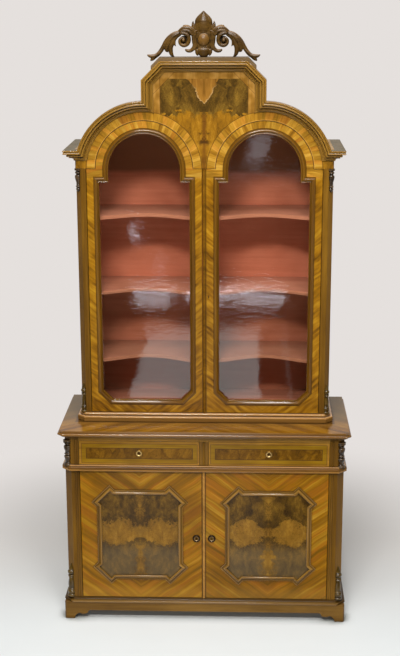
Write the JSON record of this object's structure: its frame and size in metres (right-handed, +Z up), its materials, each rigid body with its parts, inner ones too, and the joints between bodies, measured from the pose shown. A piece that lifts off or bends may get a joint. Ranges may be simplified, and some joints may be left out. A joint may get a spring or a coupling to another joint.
{
  "type": "arched bookcase credenza",
  "caption": "Walnut cupboard base with drawers and doors, carrying a glazed arched bookcase with a carved crest.",
  "frame": {"origin": "centre of the footprint on the floor, midway between the worktop's side edges and between its front edge and the back", "axes": "+X to the viewer's right, +Y to the back, +Z up"},
  "size_m": [1.24, 0.516, 2.588],
  "materials": {
    "walnut_gold": "golden walnut veneer, polished",
    "walnut_dark": "dark walnut mouldings, polished",
    "walnut_burl": "figured burl walnut, polished",
    "ebonised": "ebonised turnings, satin",
    "brass": "aged brass",
    "iron": "plain iron",
    "painted_red": "brick red paint, matt",
    "raw_wood": "plain secondary wood, unpolished",
    "glass": "thin window glass"
  },
  "bodies": {
    "root": {"plinth_front": "walnut_gold", "plinth_returns": "walnut_gold", "plinth_moulding": "walnut_dark", "lower_bottom": "raw_wood", "lower_side_left": "walnut_gold", "lower_side_right": "walnut_gold", "lower_posts": "walnut_gold", "lower_back": "raw_wood", "mid_rail": "walnut_dark", "drawer_divider": "walnut_gold", "drawer_bed": "raw_wood", "lower_shelf": "raw_wood", "frieze_rail": "walnut_dark", "worktop": "walnut_dark", "lower_turnings": "ebonised", "upper_base": "walnut_dark", "upper_bottom": "painted_red", "upper_side_left": "walnut_gold", "upper_side_right": "walnut_gold", "upper_posts": "walnut_gold", "upper_back": "painted_red", "face_board": "walnut_gold", "arch_cornices": "walnut_dark", "side_cornices": "walnut_dark", "crest_moulding": "walnut_dark", "crest_braces": "raw_wood", "crest_cap": "walnut_dark", "roof": "raw_wood", "carving": "walnut_dark", "upper_turnings": "ebonised", "case_shelves": "painted_red", "shelf_battens": "painted_red", "pivot_pins": "iron"},
    "drawer_left": {"drawer_left_front": "walnut_gold", "drawer_left_box": "raw_wood", "drawer_left_bottom": "raw_wood", "drawer_left_lock": "brass"},
    "lower_door_left": {"lower_door_left_board": "walnut_gold", "lower_door_left_moulding": "walnut_dark", "lower_door_left_lock": "brass", "lower_door_left_pivots": "iron"},
    "glass_door_left": {"glass_door_left_frame": "walnut_gold", "glass_door_left_sash": "walnut_dark", "glass_door_left_pane": "glass", "glass_door_left_beads": "walnut_dark", "glass_door_left_pivots": "iron"},
    "drawer_right": {"drawer_right_front": "walnut_gold", "drawer_right_box": "raw_wood", "drawer_right_bottom": "raw_wood", "drawer_right_lock": "brass"},
    "lower_door_right": {"lower_door_right_board": "walnut_gold", "lower_door_right_moulding": "walnut_dark", "lower_door_right_lock": "brass", "lower_door_right_pivots": "iron"},
    "glass_door_right": {"glass_door_right_frame": "walnut_gold", "glass_door_right_sash": "walnut_dark", "glass_door_right_pane": "glass", "glass_door_right_beads": "walnut_dark", "glass_door_right_pivots": "iron", "glass_door_right_lock": "iron"}
  },
  "joints": [
    {"name": "drawer_left_slide", "type": "slide", "parent": "root", "child": "drawer_left", "axis": [0, -1, 0], "range_m": [0, 0.33]},
    {"name": "lower_door_left_hinge", "type": "hinge", "parent": "root", "child": "lower_door_left", "pos_m": [-0.5255, -0.2275, 0.392], "axis": [0, 0, -1], "range_deg": [0, 105]},
    {"name": "glass_door_left_hinge", "type": "hinge", "parent": "root", "child": "glass_door_left", "pos_m": [-0.481, -0.0995, 1.43], "axis": [0, 0, -1], "range_deg": [0, 90]},
    {"name": "drawer_right_slide", "type": "slide", "parent": "root", "child": "drawer_right", "axis": [0, -1, 0], "range_m": [0, 0.33]},
    {"name": "lower_door_right_hinge", "type": "hinge", "parent": "root", "child": "lower_door_right", "pos_m": [0.5255, -0.2275, 0.392], "axis": [0, 0, 1], "range_deg": [0, 105]},
    {"name": "glass_door_right_hinge", "type": "hinge", "parent": "root", "child": "glass_door_right", "pos_m": [0.481, -0.0995, 1.43], "axis": [0, 0, 1], "range_deg": [0, 90]}
  ]
}
